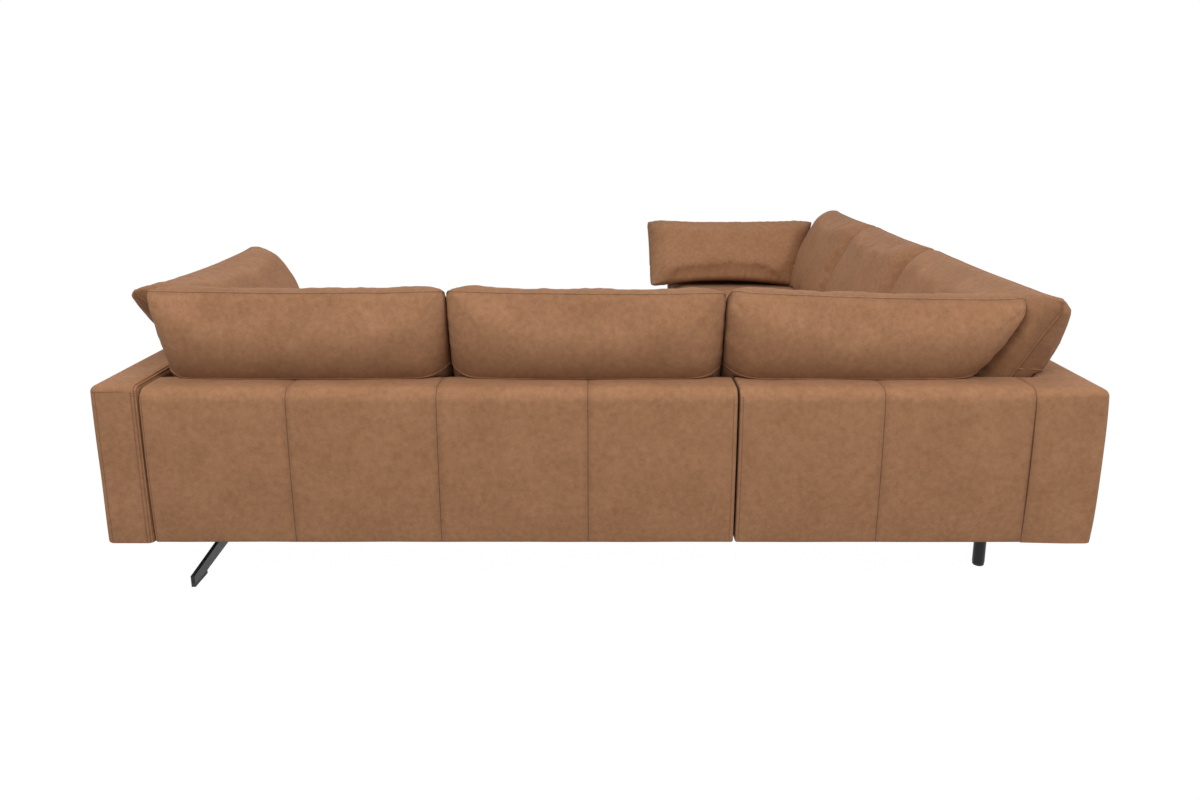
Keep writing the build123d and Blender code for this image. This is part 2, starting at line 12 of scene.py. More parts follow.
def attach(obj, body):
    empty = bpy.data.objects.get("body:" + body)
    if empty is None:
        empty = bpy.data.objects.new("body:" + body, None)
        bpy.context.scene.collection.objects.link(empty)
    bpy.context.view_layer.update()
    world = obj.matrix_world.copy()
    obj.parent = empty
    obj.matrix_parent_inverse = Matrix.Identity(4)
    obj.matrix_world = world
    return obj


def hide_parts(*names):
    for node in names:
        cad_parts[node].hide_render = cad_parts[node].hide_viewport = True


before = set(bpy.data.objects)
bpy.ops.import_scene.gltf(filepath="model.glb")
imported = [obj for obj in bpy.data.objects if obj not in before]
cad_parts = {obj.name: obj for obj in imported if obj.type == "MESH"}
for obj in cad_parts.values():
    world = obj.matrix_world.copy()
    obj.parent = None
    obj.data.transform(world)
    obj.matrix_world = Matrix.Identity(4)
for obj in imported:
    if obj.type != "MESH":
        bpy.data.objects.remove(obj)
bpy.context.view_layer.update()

# Sizes in metres. In a module's own frame x runs along its back and y from the back's outer face.
HALF = 1.375
OVERALL = 2.75
DEPTH = 0.996
FLOOR_GAP = 0.1712
PADDED = (0.175, 0.625)
ARM_WIDTH = 0.125
ARM_TOP = 0.630
BASE_START = 0.129
SIDE_LENGTH = 1.749
PANELS = (0.394, 0.408, 0.411, 0.407)
CORNER_START = 1.754
CORNER_PANELS = (0.394, 0.408)
BACK_HEIGHT = 0.62
BACK_DEPTH = 0.14
CROWN_RADIUS = 4.5
CROWN_HEIGHT = 0.44
SEAT_BOTTOM = 0.289
SEAT_TOP = 0.468
SEAT_EDGE = 0.422
SEAT_LIFT = 0.001
SEATS = ((0.133, 0.935, 0.146, DEPTH), (0.943, 1.745, 0.146, DEPTH), (1.758, 2.604, 0.146, 0.992))
CUSHION_FOOT = 0.4343
CLEAR = 0.0012
SAME = 1e-5

# Radii of rounded edges
PANEL_ROUND = 0.034
BEND_ROUND = 0.021
INNER_ROUND = 0.016
JOINT_ROUND = 0.008
SEAM_ROUND = 0.0014
HEM_ROUND = 0.006
ARM_ROUND = 0.018
ARM_HEM_ROUND = 0.005

# Spacing of the cuts that let a block be padded out
CUT = 0.018
BEND_CUT = 0.016
SEAT_CUT = 0.014
LONG_CUT = 0.02

# Padding: its depth, how far it swells and how uneven it is
SKIN = 0.05
ARM_SKIN = 0.03
PANEL_SWELL = 0.0045
TOP_SWELL = 0.002
BEND_SWELL = 0.004
FULLER = 0.007
BROAD_LUMPS = 5.0
CLOSE_LUMPS = 14.0

# Seams and stitches
SEAM_WIDTH = 0.0012
SEAM_SHADE = 0.75
STITCH_PITCH = 0.0074
STITCH_LOW = 0.182
STITCH_HIGH = 0.598
SEAT_CORNER = 0.03
SEAT_DRAW = 0.005


# Working helpers


def select_only(*pieces):
    """Object mode with only these pieces selected, the first one active."""
    if bpy.context.mode != "OBJECT":
        bpy.ops.object.mode_set(mode="OBJECT")
    bpy.ops.object.select_all(action="DESELECT")
    for piece in pieces:
        piece.select_set(True)
    if pieces:
        bpy.context.view_layer.objects.active = pieces[0]


@contextmanager
def editing(piece, everything=True):
    """The piece in edit mode, with all of it selected or only what was."""
    select_only(piece)
    bpy.ops.object.mode_set(mode="EDIT")
    if everything:
        bpy.ops.mesh.select_all(action="SELECT")
    yield
    bpy.ops.object.mode_set(mode="OBJECT")


def rename(piece, name):
    piece.name = piece.data.name = name
    return piece


def add_object(name, data):
    piece = bpy.data.objects.new(name, data)
    bpy.context.collection.objects.link(piece)
    return piece


def apply(piece, modifier):
    select_only(piece)
    bpy.ops.object.modifier_apply(modifier=modifier)


def block(name, low, high):
    """Cube drawn out between two corners, with its place in its mesh."""
    select_only()
    low, high = Vector(low), Vector(high)
    bpy.ops.mesh.primitive_cube_add(size=1, location=(low + high) / 2)
    piece = rename(bpy.context.active_object, name)
    piece.scale = high - low
    bpy.ops.object.transform_apply(location=True, rotation=True, scale=True)
    return piece


def edge_at(**places):
    """Test for edges that have both ends at these places."""
    spots = [("xyz".index(axis), place) for axis, place in places.items()]
    return lambda a, b: all(abs(p[axis] - place) < SAME for p in (a, b) for axis, place in spots)


def upright_edge(a, b):
    return abs(a[2] - b[2]) > 0.05


def round_edges(piece, radius, segments, *tests):
    """Bevels the edges whose two ends pass one of the tests."""
    mesh = piece.data
    mesh.polygons.foreach_set("select", np.zeros(len(mesh.polygons), bool))
    points = read_points(piece)
    ends = read(mesh.edges, "vertices", 2, int)
    chosen = np.array([any(test(points[a], points[b]) for test in tests) for a, b in ends])
    hit = np.zeros(len(mesh.vertices), bool)
    hit[ends[chosen].ravel()] = True
    mesh.vertices.foreach_set("select", hit)
    mesh.edges.foreach_set("select", chosen)
    bpy.context.tool_settings.mesh_select_mode = (False, True, False)
    with editing(piece, False):
        bpy.ops.mesh.bevel(offset=radius, segments=segments, affect="EDGES", clamp_overlap=True)


def slice_up(piece, *cuts):
    """Cuts the piece across each axis about every step, so that it can be padded out."""
    points = read_points(piece)
    with editing(piece):
        for axis, step in cuts:
            low, high = points[:, axis].min(), points[:, axis].max()
            count = max(2, round((high - low) / step))
            normal, place = [0, 0, 0], [0, 0, 0]
            normal[axis] = 1
            for i in range(1, count):
                place[axis] = low + (high - low) * i / count
                bpy.ops.mesh.select_all(action="SELECT")
                bpy.ops.mesh.bisect(plane_co=place, plane_no=normal)


def read(items, key, width=1, kind=float):
    """One value or row of values for each of a mesh's items."""
    values = np.zeros(len(items) * width, kind)
    items.foreach_get(key, values)
    return values.reshape(-1, width) if width > 1 else values


def read_points(piece):
    return read(piece.data.vertices, "co", 3)


def write_points(piece, points):
    piece.data.vertices.foreach_set("co", np.ascontiguousarray(points, dtype=float).ravel())
    piece.data.update()


def unevenness(points, scale, seed):
    """Soft random swell at each point, from -1 to 1, the same on every run."""
    shift = Vector((seed * 3.1, seed * 1.7, seed * 0.9))
    return np.array([noise.noise(Vector(p) * scale + shift) for p in points])


def fade(distance, reach):
    """1 at no distance, 0 from reach on."""
    return np.clip(1 - distance / reach, 0, 1)


def hump(value, low, high, power):
    """1 in the middle of a span, 0 at both its ends."""
    return 1 - np.clip(np.abs((value - (low + high) / 2) / ((high - low) / 2)), 0, 1) ** power


def smooth(piece):
    select_only(piece)
    bpy.ops.object.shade_smooth_by_angle(angle=radians(50))


def join(name, pieces):
    select_only(*pieces)
    if len(pieces) > 1:
        bpy.ops.object.join()
    return rename(bpy.context.active_object, name)


def across_diagonal(piece, name):
    """Copy for the other side module, mirrored across the diagonal through the corner."""
    other = piece.copy()
    other.data = piece.data.copy()
    rename(other, name)
    bpy.context.collection.objects.link(other)
    write_points(other, read_points(other)[:, [1, 0, 2]] * [-1, -1, 1])
    with editing(other):
        bpy.ops.mesh.flip_normals()
    return other


def tube(name, path, radius, dark=0.0):
    """Leather cord along a path."""
    curve = bpy.data.curves.new(name, "CURVE")
    curve.dimensions = "3D"
    curve.bevel_depth = radius
    curve.bevel_resolution = 2
    curve.use_fill_caps = True
    spline = curve.splines.new("POLY")
    spline.points.add(len(path) - 1)
    spline.points.foreach_set("co", np.hstack([path, np.ones((len(path), 1))]).ravel())
    select_only(add_object(name, curve))
    bpy.ops.object.convert(target="MESH")
    mark_seams_and_shade(bpy.context.active_object, dark)
    return bpy.context.active_object


# Finishes


class Nodes:
    """Node tree in the making."""

    def __init__(self, tree):
        self.tree = tree

    def add(self, kind, **inputs):
        return self.put(self.tree.nodes.new(kind), **inputs)

    def put(self, node, **inputs):
        for name, value in inputs.items():
            node.inputs[name.replace("_", " ")].default_value = value
        return node

    def link(self, source, target):
        self.tree.links.new(source, target)

    def fill(self, sockets, values):
        """Links or sets each socket, a tuple being a colour."""
        for socket, value in zip(sockets, values):
            if isinstance(value, bpy.types.NodeSocket):
                self.link(value, socket)
            else:
                socket.default_value = (*value, 1) if isinstance(value, tuple) else value

    def math(self, operation, *values):
        node = self.add("ShaderNodeMath")
        node.operation = operation
        self.fill(node.inputs, values)
        return node.outputs[0]

    def in_sight(self):
        """1 for rays that come straight or mirrored from the camera."""
        rays = self.add("ShaderNodeLightPath").outputs
        return self.math("MAXIMUM", rays["Is Camera Ray"], rays["Is Glossy Ray"])


class Finish(Nodes):
    """Node material in the making."""

    def __init__(self, name):
        self.material = bpy.data.materials.new(name)
        self.material.use_nodes = True
        super().__init__(self.material.node_tree)
        self.shader = self.tree.nodes["Principled BSDF"]
        self.coords = self.add("ShaderNodeTexCoord").outputs["Object"]

    def feed(self, socket, source):
        """Links a value to one of the shader's sockets."""
        self.link(source, self.shader.inputs[socket])

    def stored(self, name, output="Fac"):
        """Value kept with the piece's points."""
        node = self.add("ShaderNodeAttribute")
        node.attribute_name = name
        return node.outputs[output]

    def grain(self, scale, detail=4.0, roughness=0.55, stretch=None, source=None):
        """Noise on the piece's own coordinates, or on another place."""
        texture = self.add("ShaderNodeTexNoise", Scale=scale, Detail=detail, Roughness=roughness)
        source = source or self.coords
        if stretch:
            mapping = self.add("ShaderNodeMapping", Scale=stretch)
            self.link(source, mapping.inputs["Vector"])
            source = mapping.outputs["Vector"]
        self.link(source, texture.inputs["Vector"])
        return texture.outputs["Fac"]

    def ramp(self, value, *colours, places=(0.3, 0.7)):
        """Colours along a value."""
        node = self.add("ShaderNodeValToRGB")
        band = node.color_ramp
        while len(band.elements) < len(colours):
            band.elements.new(0.5)
        for element, place, colour in zip(band.elements, places, colours):
            element.position = place
            element.color = (*colour, 1)
        self.link(value, node.inputs["Fac"])
        return node.outputs["Color"]

    def mix(self, factor, first, second, blend="MIX"):
        node = self.add("ShaderNodeMix")
        node.data_type = "RGBA"
        node.blend_type = blend
        self.fill((node.inputs[0], node.inputs[6], node.inputs[7]), (factor, first, second))
        return node.outputs[2]

    def between(self, value, low, high):
        """Spreads a noise value between two numbers."""
        node = self.add("ShaderNodeMapRange", From_Min=0.3, From_Max=0.7, To_Min=low, To_Max=high)
        self.link(value, node.inputs["Value"])
        return node.outputs["Result"]

    def bump(self, height, strength, distance, under=None):
        node = self.add("ShaderNodeBump", Strength=strength, Distance=distance)
        self.link(height, node.inputs["Height"])
        if under is not None:
            self.link(under, node.inputs["Normal"])
        self.feed("Normal", node.outputs["Normal"])
        return node.outputs["Normal"]

    def set(self, **inputs):
        self.put(self.shader, **inputs)


def tan_leather():
    """Matte brushed leather: cloudy tan, a fine nap, bumped folds along the seams, and the darkness each piece
    stores for its seams and painted shade.
    """
    f = Finish("tan_leather")
    tans = (0.270, 0.131, 0.064), (0.300, 0.149, 0.075), (0.324, 0.164, 0.085)
    clouds = f.ramp(f.grain(8, 5, 0.62), *tans, places=(0.3, 0.52, 0.75))
    light = (1.08, 1.08, 1.08)
    mottle = f.ramp(f.grain(62, 4, 0.68), (0.82, 0.81, 0.80), light)
    nap = f.grain(420, 3, 0.65)
    speck = f.ramp(nap, (0.87, 0.86, 0.85), light)
    colour = f.mix(1.0, f.mix(1.0, clouds, mottle, "MULTIPLY"), speck, "MULTIPLY")
    # The stored seam value darkens seams and paints shade at creases, along cushion feet and crests, and between
    # cushions.
    seam_and_shade_brown = (0.085, 0.037, 0.019)
    f.feed("Base Color", f.mix(f.stored("seam"), colour, seam_and_shade_brown))
    f.feed("Roughness", f.between(f.grain(60), 0.68, 0.86))
    pores = f.bump(f.grain(1100, 3, 0.6), 0.25, 0.0006)
    hairs = f.grain(1.0, 3.0, 0.6, (95, 11, 1), f.stored("fold_place", "Vector"))
    drawn = f.bump(f.math("MULTIPLY", hairs, f.stored("folds")), 0.55, 0.004, pores)
    f.bump(nap, 0.3, 0.0007, drawn)
    f.set(Specular_IOR_Level=0.16, Sheen_Weight=0.05, Sheen_Roughness=0.55, Sheen_Tint=(1.0, 0.78, 0.62, 1))
    return f.material


def plain_finish(name, grain, dark, light, relief=None, gloss=None, places=(0.3, 0.7), **values):
    """Two shades along a grain; relief and gloss follow that grain or a finer one of their own."""
    f = Finish(name)
    figure = f.grain(*grain)
    f.feed("Base Color", f.ramp(figure, dark, light, places=places))
    if gloss:
        finer, low, high = gloss
        f.feed("Roughness", f.between(f.grain(*finer) if finer else figure, low, high))
    if relief:
        finer, strength, distance = relief
        f.bump(f.grain(*finer) if finer else figure, strength, distance)
    f.set(**values)
    return f.material


LEATHER = tan_leather()
THREAD = plain_finish(
    "dark_thread", (1500, 2, 0.5, (1, 1, 0.3)), (0.055, 0.026, 0.015), (0.095, 0.046, 0.027),
    relief=(None, 0.4, 0.0004), Roughness=0.8, Specular_IOR_Level=0.2,
)
NODE_FINISHES = [
    (("sled_leg", "support_legs", "corner_legs"), plain_finish(
        "satin_black_metal", (30, 3), (0.006, 0.006, 0.007), (0.011, 0.011, 0.012),
        relief=((1600, 2), 0.12, 0.0004), gloss=((160, 3), 0.34, 0.46), Specular_IOR_Level=0.34,
    )),
    (("leg_glides",), plain_finish(
        "moulded_black_plastic", (90, 3), (0.012, 0.012, 0.012), (0.022, 0.022, 0.022),
        relief=((900, 3), 0.25, 0.0005), Roughness=0.65,
    )),
    (("lining",), plain_finish(
        "dust_cloth", (700, 4, 0.7, (1, 0.35, 1)), (0.012, 0.012, 0.013), (0.034, 0.034, 0.036),
        relief=(None, 0.6, 0.001), Roughness=0.95, Specular_IOR_Level=0.1,
    )),
    (("base_frame", "back_frame", "arm_frame"), plain_finish(
        "sawn_timber", (9, 5, 0.6, (1, 6, 6)), (0.42, 0.27, 0.14), (0.62, 0.45, 0.26),
        relief=((140, 4, 0.6, (0.2, 3, 3)), 0.3, 0.0008), Roughness=0.75,
    )),
    (("webbing",), plain_finish(
        "elastic_web", (520, 2, 0.5, (1, 0.25, 1)), (0.018, 0.018, 0.02), (0.07, 0.07, 0.075),
        relief=(None, 0.7, 0.001), places=(0.35, 0.65), Roughness=0.9,
    )),
    (("leg_screws", "connector"), plain_finish(
        "plated_steel", (260, 3, 0.5, (0.15, 1, 1)), (0.46, 0.46, 0.47), (0.62, 0.62, 0.63),
        gloss=(None, 0.28, 0.42), Metallic=1.0,
    )),
]


def dress(piece, material):
    piece.data.materials.clear()
    piece.data.materials.append(material)


def keep(piece, name, values, kind="FLOAT", key="value"):
    """Stores values with the piece's points."""
    layer = piece.data.attributes.get(name) or piece.data.attributes.new(name, kind, "POINT")
    layer.data.foreach_set(key, np.ascontiguousarray(values, dtype=np.float32).ravel())


def mark_seams_and_shade(piece, amount=0.0):
    """Stores how dark each point is: the leather's seams, and painted shade at creases and on the cushions."""
    keep(piece, "seam", np.clip(np.broadcast_to(amount, len(piece.data.vertices)), 0, 1))


def seam_at(value, place):
    """How close each point is to a seam."""
    return np.exp(-(np.abs(value - place) / SEAM_WIDTH) ** 2)


# Padded blocks: back panels, arms and aprons


def tuck(z):
    """How far the outer face of a back tucks in at a height."""
    return CROWN_RADIUS - np.sqrt(CROWN_RADIUS**2 - (z - CROWN_HEIGHT) ** 2)


def place_module(piece):
    """Moves a piece from its module's own corner into the sofa's frame."""
    write_points(piece, read_points(piece) - [HALF, HALF, 0])
    return piece


def back_panel(name, x0, x1, end_radii, seed):
    """One padded panel of a back."""
    piece = block(name, (x0, 0, FLOOR_GAP), (x1, BACK_DEPTH, BACK_HEIGHT))
    round_edges(piece, PANEL_ROUND, 8, edge_at(z=BACK_HEIGHT, y=0))
    round_edges(piece, INNER_ROUND, 5, edge_at(z=BACK_HEIGHT, y=BACK_DEPTH))
    round_edges(piece, HEM_ROUND, 3, edge_at(z=FLOOR_GAP, y=0))
    for side, radius in zip((x0, x1), end_radii):
        round_edges(piece, radius, 4, edge_at(x=side))
    slice_up(piece, (0, CUT), (2, CUT))
    points = read_points(piece)
    x, y, z = points.T
    across = hump(x, x0, x1, 6)
    lumps = unevenness(points, BROAD_LUMPS, seed) * 0.0016 + unevenness(points, CLOSE_LUMPS, seed + 5) * 0.0006
    y += fade(y, SKIN) * (tuck(z) - (PANEL_SWELL * across * hump(z, *PADDED, 4) + lumps * across))
    z += fade(BACK_HEIGHT - z, 0.012) * (TOP_SWELL * across + lumps * across)
    write_points(piece, points)
    mark_seams_and_shade(piece, np.maximum(seam_at(x, x0), seam_at(x, x1)) * SEAM_SHADE)
    return piece


def side_back():
    """Four sewn panels of a side module's back."""
    overlap = 0.0025
    last = len(PANELS) - 1
    panels = []
    x0 = BASE_START
    for i, width in enumerate(PANELS):
        radii = [JOINT_ROUND if i == end else SEAM_ROUND for end in (0, last)]
        start = x0 - overlap if i == 0 else x0
        panels.append(back_panel(f"panel_{i}", start, x0 + width, radii, i + 1))
        x0 += width
    return place_module(join("left_back_leather", panels))


def bend_block(start, end):
    """Rounded L-shaped block, from start along the rear to end along the wing."""
    bend = block("bend", (start, 0, FLOOR_GAP), (OVERALL, BACK_DEPTH, BACK_HEIGHT))
    inner = OVERALL - BACK_DEPTH
    with editing(bend):
        bpy.ops.mesh.bisect(plane_co=(inner, 0, 0), plane_no=(1, 0, 0))
    for face in bend.data.polygons:
        face.select = face.center.x > inner and face.normal.y > 0.9
    for part in (*bend.data.edges, *bend.data.vertices):
        part.select = False
    bpy.context.tool_settings.mesh_select_mode = (False, False, True)
    with editing(bend, False):
        bpy.ops.mesh.extrude_region_move(TRANSFORM_OT_translate={"value": (0, end - BACK_DEPTH, 0)})

    rear, wing = edge_at(z=BACK_HEIGHT, y=0), edge_at(z=BACK_HEIGHT, x=OVERALL)
    round_edges(bend, BEND_ROUND, 8, rear, wing, edge_at(y=0, x=OVERALL))
    rear, wing = edge_at(z=BACK_HEIGHT, y=BACK_DEPTH), edge_at(z=BACK_HEIGHT, x=inner)
    round_edges(bend, INNER_ROUND, 5, wing, lambda a, b: rear(a, b) and max(a[0], b[0]) < inner + SAME)
    round_edges(bend, SEAM_ROUND, 4, edge_at(x=start), edge_at(y=end))
    slice_up(bend, (0, BEND_CUT), (1, BEND_CUT), (2, CUT))
    return bend


def pad_bend(bend, start, end):
    """Pads the bend out, with the panels' own profile at both its seams."""
    blend, swell_reach, flat_share = 0.12, 0.3, 0.25
    points = read_points(bend)
    x, y, z = points.T
    upright = hump(z, *PADDED, 4)
    lumps = unevenness(points, BROAD_LUMPS, 17) * 0.0014
    fuller = FULLER * np.clip((end - y) / swell_reach, 0, 1)
    insets = []
    for depth, beyond, swell in ((y, x - start, 0), (OVERALL - x, end - y, fuller)):
        panel_like = fade(beyond, blend)
        inner, over = PANEL_ROUND - depth, z - BACK_HEIGHT + PANEL_ROUND
        out = np.maximum(np.hypot(inner, over), PANEL_ROUND)
        pull = np.where((inner > 0) & (over > 0), 1 - PANEL_ROUND / out, 0) * panel_like
        z = z - over * pull
        tucked = tuck(z) * (flat_share + (1 - flat_share) * panel_like) - BEND_SWELL * upright - lumps - swell
        insets.append(inner * pull + fade(depth, SKIN) * tucked)
    write_points(bend, np.stack([x - insets[1], y + insets[0], z], axis=1))
    mark_seams_and_shade(bend, np.maximum(seam_at(x, start), seam_at(y, end)) * SEAM_SHADE)


def corner_back():
    """L-shaped back of the corner module: two panels along the rear, one along the wing and the bend between."""
    x1 = CORNER_START + CORNER_PANELS[0]
    x2 = x1 + CORNER_PANELS[1]
    first = place_module(back_panel("first", CORNER_START, x1, (JOINT_ROUND, SEAM_ROUND), 11))
    second = place_module(back_panel("second", x1, x2, (SEAM_ROUND, SEAM_ROUND), 12))
    wing = across_diagonal(first, "wing")
    bend = bend_block(x2, OVERALL - x1)
    pad_bend(bend, x2, OVERALL - x1)
    return join("corner_back_leather", [place_module(bend), first, second, wing])


def arm():
    """Slim padded arm with rounded edges."""
    piece = block("left_arm_leather", (0, 0, FLOOR_GAP), (ARM_WIDTH, DEPTH, ARM_TOP))
    round_edges(piece, ARM_ROUND, 7, edge_at(z=ARM_TOP), upright_edge)
    round_edges(piece, ARM_HEM_ROUND, 3, edge_at(z=FLOOR_GAP))
    slice_up(piece, (0, CUT), (1, LONG_CUT), (2, CUT))
    points = read_points(piece)
    x, y, z = points.T
    upright = hump(z, *PADDED, 4)
    along = hump(y, 0, DEPTH, 8)
    lumps = unevenness(points, BROAD_LUMPS, 23) * 0.0015
    x -= fade(x, ARM_SKIN) * (FULLER + 0.003 * upright * along + lumps)
    x += fade(ARM_WIDTH - x, 0.02) * 0.0015 * upright * along
    width = hump(x, 0, ARM_WIDTH, 4)
    y += fade(y, ARM_SKIN) * (-0.002 * width * upright - lumps * width)
    z += fade(ARM_TOP - z, 0.01) * TOP_SWELL * width
    write_points(piece, points)
    mark_seams_and_shade(piece)
    return place_module(piece)


def over_arm(x, lift):
    """Path up the arm's back, over its top and down its front."""
    beyond = max(0, x - (ARM_WIDTH - ARM_ROUND))
    sink = ARM_ROUND - sqrt(ARM_ROUND**2 - beyond**2) - lift
    reach = ARM_ROUND - sink
    turn = np.linspace(0, pi / 2, 9)[1:]
    low, high = FLOOR_GAP + 0.004, ARM_TOP - ARM_ROUND
    path = [(x, sink, z) for z in np.linspace(low, high, 24)]
    path += [(x, ARM_ROUND - reach * cos(a), high + reach * sin(a)) for a in turn]
    path += [(x, y, ARM_TOP - sink) for y in np.linspace(ARM_ROUND, DEPTH - ARM_ROUND, 40)[1:]]
    path += [(x, DEPTH - ARM_ROUND + reach * sin(a), high + reach * cos(a)) for a in turn]
    path += [(x, DEPTH - sink, z) for z in np.linspace(high, low, 20)[1:]]
    return np.array(path)


def arm_welts():
    """Two raised seams side by side over the arm's inner edge."""
    radius, lift = 0.0027, 0.0006
    welts = [tube(f"arm_welt_{i}", over_arm(x, lift), radius) for i, x in enumerate((0.1135, 0.1195))]
    return place_module(join("left_arm_welt", welts))


def arm_crease(left_arm):
    """Short crease where the arm's top leather turns down its back, drawn as a fully dark cord: painted shade of the
    crease.
    """
    start_height, slope, sink, radius = 0.6135, 0.012, 0.0003, 0.0007
    leather = surface(left_arm)
    path = []
    for x in np.linspace(0.002, 0.084, 24):
        start = Vector((x - HALF, -HALF - 0.2, start_height + slope * x))
        hit = leather.ray_cast(start, Vector((0, 1, 0)))[0]
        if hit is not None:
            path.append(hit + Vector((0, sink, 0)))
    # Fully dark cord: the crease's shade is painted.
    return tube("arm_crease", np.array(path), radius, 1.0)


def apron():
    """Leather-covered board under the seats' front edge, sewn in the middle."""
    rear, gap, skin = 0.981, 0.0015, 0.984
    middle = (BASE_START + SIDE_LENGTH) / 2
    halves = []
    front = edge_at(y=DEPTH)
    for i, (x0, x1) in enumerate(((BASE_START, middle), (middle, SIDE_LENGTH))):
        piece = block(f"apron_{i}", (x0, rear, FLOOR_GAP), (x1, DEPTH, SEAT_BOTTOM - gap))
        round_edges(piece, 0.005, 4, lambda a, b: front(a, b) and abs(a[0] - b[0]) > 0.1)
        for side in (x0, x1):
            round_edges(piece, 0.0024, 3, edge_at(x=side))
        slice_up(piece, (0, LONG_CUT), (2, CUT))
        points = read_points(piece)
        swell = hump(points[:, 2], PADDED[0], SEAT_BOTTOM, 2) * 0.002 + unevenness(points, 6, 31) * 0.0008
        points[:, 1] += np.clip((points[:, 1] - skin) / (DEPTH - skin), 0, 1) * swell
        write_points(piece, points)
        mark_seams_and_shade(piece, seam_at(points[:, 0], middle))
        halves.append(piece)
    return place_module(join("left_apron_leather", halves))


# Stitches


def stitch_row(name, tree, x, y, towards=1, high=STITCH_HIGH, low=STITCH_LOW):
    """Upright row of stitches, each moved along y from outside and sunk into the leather."""
    width, length, sink = 0.0016, 0.0019, 0.0004
    select_only()
    bpy.ops.mesh.primitive_uv_sphere_add(segments=6, ring_count=5, radius=1, location=(0, 0, 0))
    piece = rename(bpy.context.active_object, name)
    points = read_points(piece)
    points[:, 2] *= 1 - 0.25 * (np.abs(points[:, 0]) > 0.5)
    write_points(piece, points * [width, width, length] + [x, y, high])
    count = max(2, round((high - low) / STITCH_PITCH))
    rows = piece.modifiers.new("Row", "ARRAY")
    rows.use_relative_offset = False
    rows.use_constant_offset = True
    rows.constant_offset_displace = (0, 0, (low - high) / count)
    rows.count = count + 1
    apply(piece, "Row")
    stitches = read_points(piece).reshape(-1, len(points), 3)
    for stitch in stitches:
        middle = stitch.mean(axis=0)
        start = Vector((middle[0], middle[1] - 0.2 * towards, middle[2]))
        hit = tree.ray_cast(start, Vector((0, towards, 0)))[0]
        if hit is not None:
            stitch[:, 1] += hit.y + sink * towards - middle[1]
    write_points(piece, stitches.reshape(-1, 3))
    return piece


def surface(piece):
    """Search tree of the piece's faces."""
    points = [Vector(p) for p in read_points(piece)]
    return BVHTree.FromPolygons(points, [tuple(f.vertices) for f in piece.data.polygons])


def module_stitching(back, left_arm):
    """Stitches down the arm's back and front bands and beside both ends of the back."""
    rows = []
    leather = surface(left_arm)
    for i, x in enumerate((0.0115, 0.1075)):
        for end, y, towards in (("back", -HALF, 1), ("front", DEPTH - HALF, -1)):
            rows.append(stitch_row(f"row_{end}_{i}", leather, x - HALF, y, towards, STITCH_HIGH + 0.012))
    leather = surface(back)
    for i, x in enumerate((BASE_START + 0.0045, SIDE_LENGTH - 0.0115)):
        rows.append(stitch_row(f"row_end_{i}", leather, x - HALF, -HALF))
    return join("left_stitches", rows)


def corner_stitching(corner):
    """Stitches beside the corner module's two joints."""
    x = CORNER_START + 0.009 - HALF
    row = stitch_row("corner_row", surface(corner), x, -HALF, low=STITCH_LOW + 0.002)
    return join("corner_stitches", [row, across_diagonal(row, "corner_wing_row")])


# Seats


def seat_rise(within, across, along):
    """Height of a seat's crown above its sewn edge."""
    turn, dome_share = 0.10, 0.86
    dome = np.sqrt(np.clip(1 - fade(within, turn) ** 2, 0, 1))
    return (SEAT_TOP - SEAT_EDGE) * (dome_share * dome + (1 - dome_share) * (1 - across**2) * (1 - along**2))


def shares(x, y, x0, x1, y0, y1):
    """How far points lie from the middle of a seat, 1 being its side."""
    return np.abs(2 * x - x0 - x1) / (x1 - x0), np.abs(2 * y - y0 - y1) / (y1 - y0)


def inside(x, y, x0, x1, y0, y1):
    """How far points lie inside a seat's sides."""
    return np.minimum(np.minimum(x - x0, x1 - x), np.minimum(y - y0, y1 - y))


def draw_sides(x, y, edges, swell):
    """Sides of a seat, drawn in between its corners and swelled out."""
    x0, x1, y0, y1 = edges

    def out(share, other, beyond):
        return np.clip((share - 0.9) / 0.1, 0, 1) * np.sign(beyond) * (swell - SEAT_DRAW * (1 - other**2))

    across, along = shares(x, y, *edges)
    return x + out(across, along, x - (x0 + x1) / 2), y + out(along, across, y - (y0 + y1) / 2)


def seat(name, edges, seed):
    """Boxed seat cushion with a crowned top and drawn-in sides."""
    x0, x1, y0, y1 = edges
    bottom = SEAT_BOTTOM + SEAT_LIFT
    piece = block(name, (x0, y0, bottom), (x1, y1, SEAT_EDGE))
    round_edges(piece, SEAT_CORNER, 6, upright_edge)
    round_edges(piece, 0.012, 4, edge_at(z=bottom))
    slice_up(piece, (0, SEAT_CUT), (1, SEAT_CUT), (2, SEAT_CUT))
    x, y, z = read_points(piece).T
    top = z > SEAT_EDGE - 1e-4
    edge = np.maximum(inside(x, y, *edges), 0)
    z = np.where(top, z + seat_rise(edge, *shares(x, y, *edges)), z)
    height = np.clip((z - SEAT_BOTTOM) / (SEAT_EDGE - SEAT_BOTTOM), 0, 1)
    swell = 0.006 * np.sin(pi * height) * ~top
    points = np.stack([*draw_sides(x, y, edges, swell), z], axis=1)
    lumps = unevenness(points, 4.0, seed) * 0.0025 + unevenness(points, 13.0, seed + 3) * 0.0007
    points[:, 2] += np.where(top, lumps * np.clip(edge / 0.10, 0, 1), 0)
    points[:, 2] = np.minimum(points[:, 2], SEAT_TOP + 0.0002)
    write_points(piece, points)
    mark_seams_and_shade(piece, np.exp(-((z - SEAT_EDGE) / 0.004) ** 2) * (edge < 0.02) * 0.6)
    return piece


